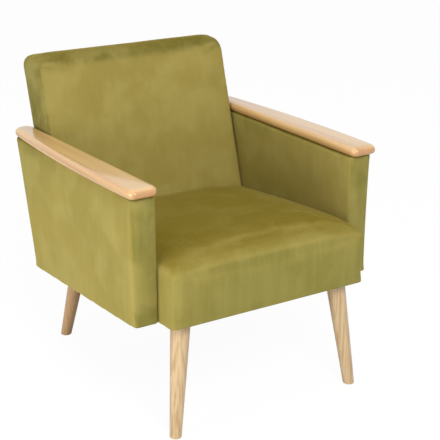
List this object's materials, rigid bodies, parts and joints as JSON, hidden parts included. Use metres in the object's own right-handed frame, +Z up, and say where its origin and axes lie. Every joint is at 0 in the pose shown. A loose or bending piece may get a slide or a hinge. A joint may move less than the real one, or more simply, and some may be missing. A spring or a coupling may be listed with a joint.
{
  "type": "upholstered armchair",
  "caption": "Upholstered armchair with a sprung seat, a raked padded back, two padded arm panels with wooden caps and splayed tapered wooden legs.",
  "frame": {"origin": "middle of the footprint on the floor, under the four feet", "axes": "+Z up; the chair faces -Y; X runs across it, and names with left are on the -X side, the left as seen from the front"},
  "size_m": [0.6606, 0.7522, 0.7434],
  "materials": {
    "velvet": "short-pile olive velvet",
    "outside_velvet": "short-pile olive velvet, stretched flat",
    "cap_wood": "clear lacquer, satin gloss",
    "leg_wood": "clear lacquer, satin",
    "frame_timber": "sawn, bare",
    "foam": "upholstery foam, matt",
    "felt": "needle felt",
    "webbing": "elastic webbing",
    "cloth": "thin non-woven cloth",
    "steel": "zinc-plated"
  },
  "bodies": {
    "root": {"back_bottom_rail": "frame_timber", "back_cover": "velvet", "back_foam": "foam", "back_left_stile": "frame_timber", "back_panel": "outside_velvet", "back_right_stile": "frame_timber", "back_strap_1": "webbing", "back_strap_2": "webbing", "back_strap_3": "webbing", "back_top_rail": "frame_timber", "dust_cloth": "cloth", "front_left_leg": "leg_wood", "front_left_leg_board": "frame_timber", "front_left_leg_bolt": "steel", "front_left_leg_plate": "steel", "front_right_leg": "leg_wood", "front_right_leg_board": "frame_timber", "front_right_leg_bolt": "steel", "front_right_leg_plate": "steel", "left_arm_bolt_1": "steel", "left_arm_bolt_2": "steel", "left_arm_bottom_rail": "frame_timber", "left_arm_cap": "cap_wood", "left_arm_cap_screw_1": "steel", "left_arm_cap_screw_2": "steel", "left_arm_cover": "velvet", "left_arm_front_post": "frame_timber", "left_arm_rear_post": "frame_timber", "left_arm_top_rail": "frame_timber", "rear_left_leg": "leg_wood", "rear_left_leg_board": "frame_timber", "rear_left_leg_bolt": "steel", "rear_left_leg_plate": "steel", "rear_right_leg": "leg_wood", "rear_right_leg_board": "frame_timber", "rear_right_leg_bolt": "steel", "rear_right_leg_plate": "steel", "right_arm_bolt_1": "steel", "right_arm_bolt_2": "steel", "right_arm_bottom_rail": "frame_timber", "right_arm_cap": "cap_wood", "right_arm_cap_screw_1": "steel", "right_arm_cap_screw_2": "steel", "right_arm_cover": "velvet", "right_arm_front_post": "frame_timber", "right_arm_rear_post": "frame_timber", "right_arm_top_rail": "frame_timber", "seat_cover": "velvet", "seat_foam": "foam", "seat_front_rail": "frame_timber", "seat_left_rail": "frame_timber", "seat_rear_rail": "frame_timber", "seat_right_rail": "frame_timber", "seat_spring_1": "steel", "seat_spring_2": "steel", "seat_spring_3": "steel", "seat_spring_4": "steel", "seat_spring_5": "steel", "spring_felt": "felt"}
  },
  "joints": []
}
